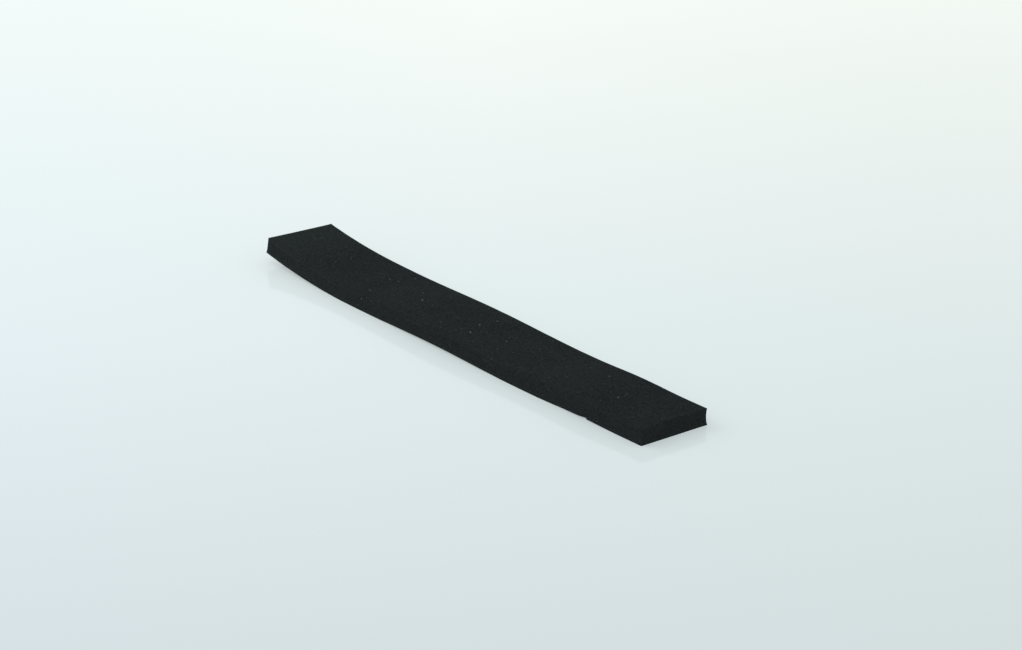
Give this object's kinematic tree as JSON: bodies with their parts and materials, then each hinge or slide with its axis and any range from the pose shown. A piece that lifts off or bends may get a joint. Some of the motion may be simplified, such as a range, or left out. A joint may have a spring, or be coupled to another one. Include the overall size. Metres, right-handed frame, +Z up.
{
  "type": "vibration dampener strip",
  "caption": "Flat black sponge-rubber strip with a skin on each face, woven between the strings of a racket to damp vibration.",
  "frame": {"origin": "on the surface the strip lies on, under the middle of its bounding box", "axes": "+X along the strip, from its curled end to its flat end; +Y across the strip, towards the side that its ends bow to; +Z up, through the strip's thickness"},
  "size_m": [0.1122, 0.0159, 0.0051],
  "materials": {
    "rubber_skin": "matte",
    "sponge_rubber": "matte"
  },
  "bodies": {
    "root": {"bottom_skin": "rubber_skin", "foam_core": "sponge_rubber", "top_skin": "rubber_skin"}
  },
  "joints": []
}
